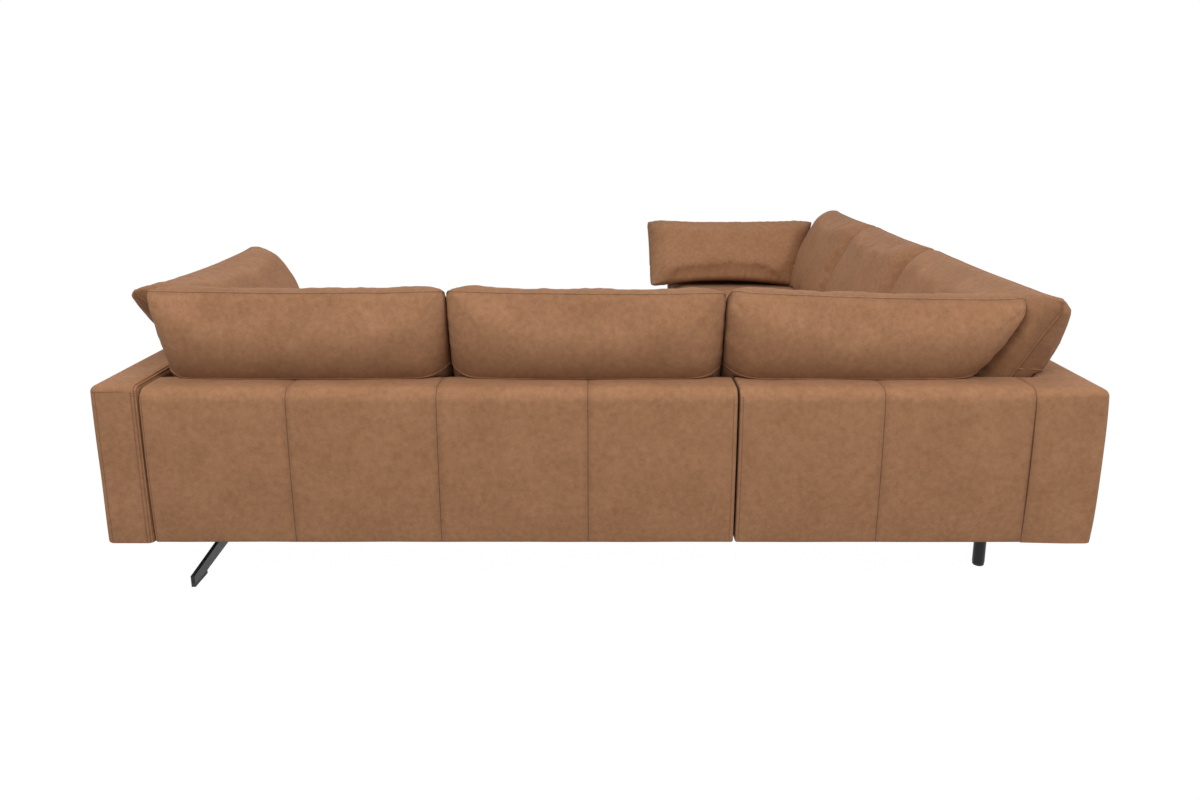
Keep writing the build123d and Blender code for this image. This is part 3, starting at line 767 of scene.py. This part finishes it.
def seat_welt(name, edges):
    """Sewn edge round the top of a seat."""
    x0, x1, y0, y1 = edges
    radius, lift = 0.0032, 0.0012
    cx, cy, hx, hy = (x0 + x1) / 2, (y0 + y1) / 2, (x1 - x0) / 2, (y1 - y0) / 2
    path = []
    for quarter, (sx, sy) in enumerate(((1, 1), (-1, 1), (-1, -1), (1, -1))):
        for turn in np.linspace(0, pi / 2, 8) + quarter * pi / 2:
            path.append((cx + sx * (hx - SEAT_CORNER) + SEAT_CORNER * cos(turn),
                         cy + sy * (hy - SEAT_CORNER) + SEAT_CORNER * sin(turn)))
        nx, ny = path[-1]
        ex, ey = (nx, -ny + 2 * cy) if quarter in (1, 3) else (-nx + 2 * cx, ny)
        path += [(nx + (ex - nx) * t, ny + (ey - ny) * t) for t in np.linspace(0, 1, 24)[1:-1]]
    flat = np.array(path + path[:1])
    x, y = draw_sides(*flat.T, edges, lift)
    return tube(name, np.stack([x, y, np.full(len(flat), SEAT_EDGE)], axis=1), radius)


def seat_set(name, spans, seed):
    parts = []
    for i, edges in enumerate(spans):
        parts += [seat(f"{name}_{i}", edges, seed + i), seat_welt(f"{name}_welt_{i}", edges)]
    return place_module(join(name, parts))


# Loose cushions


def slim(distance, reach, power=2.2):
    """Swell from 0 at a seam to 1 at reach from it."""
    return (1 - (1 - np.clip(distance / reach, 0, 1)) ** power) ** (1 / power)


@dataclass
class Cushion:
    """One loose cushion: u runs along its seam's plane, v up to its top and w out of its front.

    touch says which ends press on a neighbour, and ears how far the top corners are drawn out.
    """

    name: str
    side: str
    seed: int
    top: tuple
    bottom: tuple
    peak: float
    setback: float
    lean: float
    length: float
    front: float
    rear: float
    wall: float
    ears: tuple
    touch: tuple = (False, False)
    fall: float = 0.0
    arch: tuple = (0.004, 0.004)
    draw: float = 0.002
    corner: float = 0.018
    under: float = 0.16
    roll: float = 0.0

    grid = 0.0105
    tiny = 1e-6

    def __post_init__(self):
        self.lean = radians(self.lean)
        self.on_arm = "arm" in self.side
        self.room = [end if touching else free for end, touching, free in zip(self.top, self.touch, (-9, 9))]
        width = max(self.top[1] - self.top[0], self.bottom[1] - self.bottom[0])
        self.across, self.up = round(width / self.grid), round(self.length / self.grid)

    def outline(self, s, t):
        """Place in the seam's plane of a share across and a share up."""
        pressed_bow, bow_reach, ear_reach = -0.012, 0.2, 0.05
        left = self.bottom[0] + (self.top[0] - self.bottom[0]) * t
        right = self.bottom[1] + (self.top[1] - self.bottom[1]) * t
        width = right - left
        du = np.minimum(s, 1 - s) * width
        dv = np.minimum(t, 1 - t) * self.length
        a, b = fade(du, self.corner), fade(dv, self.corner)
        size = np.sqrt(a**2 + b**2)
        shrink = np.where(size > 0, np.maximum(a, b) / np.where(size > 0, size, 1), 1)
        turned = (a > 0) & (b > 0)
        du = np.where(turned, self.corner * (1 - a * shrink), du)
        dv = np.where(turned, self.corner * (1 - b * shrink), dv)
        bow = np.where(np.where(s < 0.5, *self.touch), pressed_bow, self.draw)
        ear = np.where(s < 0.5, *self.ears) * np.exp(-(du + dv) / ear_reach) * (t > 0.5)
        du_in = du + bow * np.sin(pi * t) ** 0.6 * fade(du, bow_reach) - ear
        rise = np.where(t > 0.5, *self.arch) * np.sin(pi * s) ** 0.7 * fade(dv, bow_reach)
        dv_in = dv + rise + self.fall * s * t**2 - 0.35 * ear
        u = np.where(s < 0.5, left + du_in, right - du_in)
        v = np.where(t > 0.5, -dv_in, -self.length + dv_in)
        return u, v, du, dv

    def swell(self, s, t, du, dv):
        """How far the front and rear sheets stand out from the seam's plane."""
        top_turn, side_turn, roll_reach = 0.11, 0.09, 0.07
        peak, flat_from = 0.2, 0.32
        dome = (1 - (2 * s - 1) ** 2) * (1 - (2 * t - 1) ** 2)
        fullness = 0.87 + 0.13 * dome
        turn = np.where(t > 0.5, top_turn, self.under)
        front = self.front * fullness * slim(du, side_turn) * slim(dv, turn)
        rear = self.rear * fullness * slim(du, 0.05 + 0.03 * (1 - t))
        if self.on_arm:
            rear *= slim(dv, side_turn)
        else:
            down = np.minimum((1 - t) * self.length, flat_from)
            flat = 0.92 * (1 - ((down - peak) / peak) ** 2) + 0.08 * slim(dv, 0.04)
            tip = 0.6 * np.exp(-du / 0.06) * ~np.where(s < 0.5, *self.touch) * (t > 0.5)
            rear *= (flat + (slim(dv, 0.08) - flat) * tip) * np.where(t > 0.5, 1, slim(dv, side_turn))
        forward = self.roll * np.exp(-t * self.length / roll_reach)
        return front + forward, rear - forward

    def build(self):
        """Front and rear sheets sewn together at their edge."""
        n, m = self.across, self.up
        count = (n + 1) * (m + 1)
        s, t = np.meshgrid(np.linspace(0, 1, n + 1), np.linspace(0, 1, m + 1), indexing="ij")
        u, v, du, dv = self.outline(s, t)
        front, rear = self.swell(s, t, du, dv)
        index = np.arange(count).reshape(n + 1, m + 1)
        edge = np.zeros((n + 1, m + 1), bool)
        edge[[0, -1], :] = edge[:, [0, -1]] = True
        back = index.copy()
        back[~edge] = count + np.arange((~edge).sum())
        sheet = np.stack([u, v, front], axis=-1).reshape(-1, 3)
        points = np.vstack([sheet, np.stack([u, v, -rear], axis=-1)[~edge]])
        faces = []
        for i in range(n):
            for j in range(m):
                faces.append((index[i, j], index[i + 1, j], index[i + 1, j + 1], index[i, j + 1]))
                faces.append((back[i, j], back[i, j + 1], back[i + 1, j + 1], back[i + 1, j]))
        mesh = bpy.data.meshes.new(self.name)
        mesh.from_pydata(points.tolist(), [], [tuple(int(k) for k in f) for f in faces])
        self.piece = add_object(self.name, mesh)
        self.edge_points = index[edge]
        self.start = points.copy()
        self.s, self.t, self.du, self.dv = [np.concatenate([k.ravel(), k[~edge]]) for k in (s, t, du, dv)]
        self.near = np.minimum(self.du, self.dv)
        self.cord = np.concatenate([index[0, m // 3 : m], index[:, m], index[n, m - 1 : m // 3 : -1]])
        self.shade(np.arange(len(points)) >= count)

    def shade(self, behind):
        """Darkens the seams, and paints shade: the rear darker towards its foot, the front along its top, and ends
        pressed on a neighbour.
        """
        # Painted shade: how dark the rear grows towards its foot and the front's strip along its top.
        painted_foot_shade, painted_crest_shade = 0.28, 0.30
        sewn = np.where(self.near < self.tiny, 0.35, 0)
        # Painted shade along ends that press on a neighbour.
        for side, touching in enumerate(self.touch):
            sewn[(np.abs(self.s - side) < self.tiny) & touching] = 0.9
        low = np.clip(((1 - self.t) * self.length - 0.03) / 0.18, 0, 1)
        crest = np.exp(-self.dv / 0.05) * (self.t > 0.5)
        mark_seams_and_shade(self.piece, np.maximum(sewn, np.where(behind, painted_foot_shade * low, painted_crest_shade * crest)))

    def stuff(self):
        """Pressure inside the cover, for the folds along its seams."""
        cloth = self.piece.modifiers.new("Stuffing", "CLOTH")
        for name, value in dict(
            quality=5, mass=0.35, tension_stiffness=22, compression_stiffness=12, shear_stiffness=8,
            bending_stiffness=0.8, use_pressure=True, uniform_pressure_force=4,
        ).items():
            setattr(cloth.settings, name, value)
        cloth.settings.effector_weights.gravity = 0
        cloth.point_cache.frame_start = 1
        cloth.point_cache.frame_end = 30

    def settle(self):
        """Keeps the stuffed shape within reach of the drawn one, and its outline where it was drawn."""
        most, seam_fade, tip_fade = 0.024, 0.07, 0.045
        if "Stuffing" not in self.piece.modifiers:
            return
        apply(self.piece, "Stuffing")
        move = read_points(self.piece) - self.start
        length = np.linalg.norm(move, axis=1, keepdims=True)
        move *= np.minimum(1, most / np.maximum(length, 1e-9))
        edge = self.near < self.tiny
        kept = [(0, self.s, self.t, self.du, (0, 1)), (1, self.t, self.s, self.dv, (0, 1))]
        if self.roll:
            kept.append((2, self.t, self.s, self.dv, (0,)))
        for axis, share, other, gap, sides in kept:
            for side in sides:
                line = edge & (np.abs(share - side) < self.tiny)
                order = np.argsort(other[line])
                fit = np.polyfit(other[line][order], move[line, axis][order], 4)
                move[:, axis] -= np.polyval(fit, other) * (np.exp(-gap / seam_fade) * (np.abs(share - side) < 0.5))
        heights = (-self.length, -self.length, 0, -self.fall)
        tips = np.array(list(zip((*self.bottom, *self.top), heights)))
        reach = np.linalg.norm(self.start[:, None, :2] - tips[None], axis=2).min(axis=1)
        move *= (1 - np.exp(-reach / tip_fade))[:, None]
        write_points(self.piece, self.start + move)

    def pinch(self):
        """Draws the seam in a little and keeps each point's distance from it and place along it."""
        points = read_points(self.piece)
        middle = np.array([sum(self.top) / 2, -self.length / 2])
        inward = middle - points[self.edge_points, :2]
        inward /= np.maximum(np.linalg.norm(inward, axis=1, keepdims=True), 1e-9)
        points[self.edge_points, :2] += inward * 0.0014
        write_points(self.piece, points)
        across = self.dv < self.du
        along = np.where(across, points[:, 0] + 0.35 * points[:, 1], points[:, 1] + 0.35 * points[:, 0])
        fold_place = np.stack([along, self.near, np.full(len(along), self.seed * 1.37)], axis=1)
        keep(self.piece, "near", self.near)
        keep(self.piece, "folds", np.exp(-self.near / 0.06) * np.where(across, 1.0, 0.35))
        keep(self.piece, "fold_place", fold_place, "FLOAT_VECTOR", "vector")

    def crease(self):
        """Finer mesh with folds along the seams and soft lumps; returns its points."""
        finer = self.piece.modifiers.new("Finer", "SUBSURF")
        finer.levels = finer.render_levels = 1
        apply(self.piece, "Finer")
        mesh = self.piece.data
        near = read(mesh.attributes["near"].data, "value", 1, np.float32)
        place = read(mesh.attributes["fold_place"].data, "vector", 3, np.float32)
        mesh.attributes.remove(mesh.attributes["near"])
        normals = read(mesh.vertices, "normal", 3)
        points = read_points(self.piece)
        streaks = unevenness(place * [42, 7, 1], 1.0, self.seed) * np.exp(-near / 0.05) * 0.0034
        soft = unevenness(points, 7.0, self.seed + 2) * 0.003 + unevenness(points, 18.0, self.seed + 4) * 0.0008
        return points + normals * ((streaks + soft) * np.clip(near / 0.012, 0, 1))[:, None]

    def finish(self):
        """Folds it, leans it in place, flat where it stands and where it rests, and sews its edge, with a dark cord
        behind the welt as painted shade.
        """
        edge_radius, shade_line_radius, shade_line_dark = 0.0016, 0.0010, 0.42
        behind, beside = 0.0019, 0.0012
        self.pinch()
        u, v, w = self.crease().T
        u = np.clip(u, *self.room)
        y = self.setback - v * sin(self.lean) + w * cos(self.lean)
        z = self.peak + v * cos(self.lean) + w * sin(self.lean)
        y, z = self.press(y, np.maximum(z, self.seat_below(u, y)))
        write_points(self.piece, self.to_sofa(u, y, z))
        with editing(self.piece):
            bpy.ops.mesh.normals_make_consistent(inside=False)
        select_only(self.piece)
        bpy.ops.object.shade_smooth()
        tight = self.room[0] + 0.002, self.room[1] - 0.002
        u, y, z = np.clip(u[self.cord], *tight), y[self.cord], z[self.cord]
        self.add_cord("edge", self.to_sofa(u, y, z), edge_radius)
        # Dark cord just behind the edge's welt: a painted shade line.
        share = self.s[self.cord] - 0.5
        out = beside * np.sign(share) * (np.abs(share) > 0.499)
        path = self.to_sofa(np.clip(u + out, *tight), y - behind * cos(self.lean), z - behind * sin(self.lean))
        self.add_cord("edge_shade_line", path, shade_line_radius, shade_line_dark)

    def add_cord(self, name, path, radius, dark=0.0):
        """Sews a fine raised seam onto the cushion; given dark, it is a painted shade line instead."""
        cord = tube(f"{self.name}_{name}", path, radius, dark)
        select_only(cord)
        bpy.ops.object.shade_smooth()
        self.piece = join(self.name, [self.piece, cord])

    def seat_below(self, x, y):
        """Height of the crowned seats under the cushion."""
        beyond, between, gap = 0.3, SEAT_EDGE - 0.01, 0.003
        if self.on_arm:
            x, y = y, x
        height = np.where(y > DEPTH, beyond, between)
        for edges in SEATS:
            within = inside(x, y, *edges)
            crown = SEAT_EDGE + seat_rise(within, *shares(x, y, *edges)) + gap
            height = np.where(within > 0, crown, height)
        return np.maximum(height, 0 if self.on_arm else CUSHION_FOOT)

    def press(self, y, z):
        """Pushes out whatever would sink into the back or arm that the cushion slides along."""
        top = ARM_TOP if self.on_arm else BACK_HEIGHT
        over = z - (top + 0.0025)
        ahead = (y - self.wall) * cos(self.lean) + (z - top) * sin(self.lean)
        sunk = np.maximum(CLEAR - np.maximum(over, ahead), 0)
        up = over > ahead
        return y + np.where(up, 0, sunk * cos(self.lean)), z + np.where(up, sunk, sunk * sin(self.lean))

    def sew_lower_edge(self):
        """Raised seam along the rear's lower edge, which runs up at both corners."""
        turn, radius, lift = 0.10, 0.0014, 0.0002
        corner_rise = [0.040 if touching else 0.030 for touching in self.touch]
        tree = surface(self.piece)
        half = (self.top[1] - self.top[0]) / 2
        gaps = np.concatenate([np.linspace(0.003, 0.1, 30), np.linspace(0.11, half, 30)])
        path = []
        for side, inward, row in ((0, 1, gaps), (1, -1, gaps[::-1])):
            for gap in row:
                rise = 1 - sqrt(1 - (1 - min(gap / turn, 1)) ** 2)
                z = BACK_HEIGHT + 0.0045 + corner_rise[side] * rise
                share = (self.peak - z) / (self.length * cos(self.lean))
                x = self.top[side] + (self.bottom[side] - self.top[side]) * share + inward * gap
                start, ahead = self.to_sofa(*np.array([(x, x), (-0.6, 0.4), (z, z)]))
                hit, normal, _, _ = tree.ray_cast(Vector(start), Vector(ahead - start).normalized())
                if hit is not None:
                    path.append(hit + normal * lift)
        self.add_cord("lower", np.array(path), radius)

    def to_sofa(self, x, y, z):
        places = {
            "back": (x - HALF, y - HALF),
            "wing": (HALF - y, HALF - x),
            "left_arm": (y - HALF, x - HALF),
            "far_arm": (HALF - x, HALF - y),
        }
        return np.stack([*places[self.side], z], axis=1)


def back_cushion(name, side, seed, start, stop, peak, touch, ears, slant=0.0, fall=0.0):
    """Cushion along a back, which may slant in at its far end."""
    gap, lean, length = 0.0006, 25, 0.54
    top = (start + gap, stop - gap)
    return Cushion(
        name, side, seed, top, (top[0], top[1] - slant * length * cos(radians(lean))), peak,
        setback=0.100, lean=lean, length=length, front=0.098, rear=0.088, wall=BACK_DEPTH,
        touch=touch, fall=fall, ears=ears, corner=0.018 + 0.06 * slant, under=0.30,
    )


def arm_cushion(name, side, seed, top, slant, lean, length, **shape):
    """Cushion that leans on an arm and slants in next to the back."""
    bottom = (top[0] + slant * length * cos(radians(lean)), top[1] - 0.009)
    return Cushion(name, side, seed, top, bottom, lean=lean, length=length, front=0.094, wall=ARM_WIDTH, **shape)


def draw_cushions():
    first, middle, last = (False, True), (True, True), (True, False)
    rows = (
        ("left_end", "back", 41, 0.130, 0.950, 0.873, first, (0.010, 0.002)),
        ("left_middle", "back", 42, 0.950, 1.724, 0.873, middle, (0.002, 0.002), 0.0, 0.006),
        ("corner_rear", "back", 43, 1.724, 2.574, 0.871, last, (0.002, 0.012), 0.5, 0.028),
        ("right_end", "wing", 44, 0.150, 0.905, 0.850, first, (0.010, 0.002)),
        ("right_middle", "wing", 45, 0.905, 1.666, 0.850, middle, (0.002, 0.002)),
        ("corner_side", "wing", 46, 1.666, 2.688, 0.850, last, (0.002, 0.012), 0.3),
    )
    return [back_cushion(f"{name}_cushion", *row) for name, *row in rows] + [
        arm_cushion(
            "left_arm_cushion", "left_arm", 47, (0.224, 1.148), 0.43, 32, 0.5, peak=0.850, setback=0.028,
            rear=0.048, arch=(0.010, 0.004), draw=0.010, ears=(0.014, 0.012),
        ),
        arm_cushion(
            "right_arm_cushion", "far_arm", 48, (0.216, 1.120), 0.34, 27, 0.392, peak=0.784, setback=0.092,
            rear=0.052, arch=(0.001, 0.036), draw=0.003, ears=(0.004, 0.004), corner=0.026, under=0.15, roll=0.060,
        ),
    ]


def loose_cushions():
    """Stuffs all cushions together and sets each on its own body."""
    last_frame = 20
    cushions = draw_cushions()
    for cushion in cushions:
        cushion.build()
    for cushion in cushions:
        cushion.stuff()
    for step in range(1, last_frame + 1):
        bpy.context.scene.frame_set(step)
    for cushion in cushions:
        cushion.settle()
    bpy.context.scene.frame_set(1)
    for cushion in cushions:
        cushion.finish()
        if not cushion.on_arm:
            cushion.sew_lower_edge()
        body = cushion.name
        piece = rename(cushion.piece, f"{body}_leather")
        dress(piece, LEATHER)
        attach(piece, body)
        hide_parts(f"{body}_cover", f"{body}_pad")


# The sofa


def cover(piece, body, material, *nodes):
    """Dresses a piece and sets it on its body, in the place of the solids it stands for."""
    dress(piece, material)
    smooth(piece)
    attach(piece, body)
    if nodes:
        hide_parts(*nodes)
    return piece


def dress_modules():
    """Leather and stitches of both side modules and the corner module."""
    back = side_back()
    left_arm = arm()
    front = apron()
    seats = seat_set("left_seats_leather", SEATS[:2], 51)
    welt = arm_welts()
    stitches = module_stitching(back, left_arm)
    left_arm = join("left_arm_leather", [left_arm, arm_crease(left_arm)])
    for piece, kind, material, nodes in (
        (back, "back_leather", LEATHER, ("back_cover", "padding")),
        (left_arm, "arm_leather", LEATHER, ("arm_cover",)),
        (front, "apron_leather", LEATHER, ("front_apron",)),
        (seats, "seats_leather", LEATHER, ("seat_covers", "seat_foam")),
        (welt, "arm_welt", LEATHER, ()),
        (stitches, "stitches", THREAD, ()),
    ):
        other = across_diagonal(piece, f"right_{kind}")
        for side, part in (("left", piece), ("right", other)):
            cover(part, f"{side}_module", material, *[f"{side}_{node}" for node in nodes])

    corner = cover(corner_back(), "corner_module", LEATHER, "corner_back_cover", "corner_padding")
    corner_seat = seat_set("corner_seat_leather", SEATS[2:], 57)
    cover(corner_seat, "corner_module", LEATHER, "corner_seat_cover", "corner_seat_foam")
    cover(corner_stitching(corner), "corner_module", THREAD)


def finish_nodes():
    """Materials of the frame's solids that stay in sight."""
    for name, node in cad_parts.items():
        for words, material in NODE_FINISHES:
            if any(word in name for word in words):
                dress(node, material)


# Studio


def studio_air():
    """White to look at, dimmer as a light."""
    world = bpy.data.worlds.new("studio_air")
    bpy.context.scene.world = world
    world.use_nodes = True
    air = Nodes(world.node_tree)
    sky = air.tree.nodes["Background"]
    sky.inputs["Color"].default_value = (1, 1, 1, 1)
    strength = air.add("ShaderNodeMapRange", To_Min=0.42, To_Max=1.0)
    air.link(air.in_sight(), strength.inputs["Value"])
    air.link(strength.outputs["Result"], sky.inputs["Strength"])


def pale_floor():
    """Floor that looks white and throws back less light."""
    f = Finish("pale_floor")
    f.set(Base_Color=(0.42, 0.42, 0.42, 1), Roughness=0.9, Specular_IOR_Level=0.0)
    glow = f.add("ShaderNodeEmission", Strength=1.03)
    share = f.math("MULTIPLY", f.in_sight(), 0.965)
    blend = f.add("ShaderNodeMixShader")
    f.fill(blend.inputs, (share, f.shader.outputs[0], glow.outputs[0]))
    f.link(blend.outputs[0], f.tree.nodes["Material Output"].inputs["Surface"])
    return f.material


def studio():
    studio_air()
    select_only()
    bpy.ops.mesh.primitive_plane_add(size=40, location=(0, 0, 0))
    floor = bpy.context.active_object
    floor.name = "studio_floor"
    floor.data.materials.append(pale_floor())

    for name, place, target, size, power in (
        ("key_lamp", (-1.9, -4.2, 4.2), (0, -0.6, 0.4), 3.5, 188),
        ("fill_lamp", (3.4, -3.6, 3.2), (0.2, -0.4, 0.4), 3.0, 114),
        ("top_lamp", (0.2, 0.4, 4.6), (0, 0, 0.4), 4.5, 84),
    ):
        lamp = bpy.data.lights.new(name, "AREA")
        lamp.size = size
        lamp.energy = power
        holder = add_object(name, lamp)
        holder.location = place
        holder.rotation_euler = (Vector(target) - Vector(place)).to_track_quat("-Z", "Y").to_euler()

    camera = bpy.data.cameras.new("view")
    camera.lens = 27.73
    camera.sensor_width = 36
    camera.shift_y = -70 / 1200
    view = add_object("view", camera)
    view.location = (0, -3.766, 1.333)
    view.rotation_euler = (radians(90 - 12.887), 0, 0)
    bpy.context.scene.camera = view
    bpy.context.scene.view_settings.view_transform = "Standard"


dress_modules()
loose_cushions()
finish_nodes()
studio()
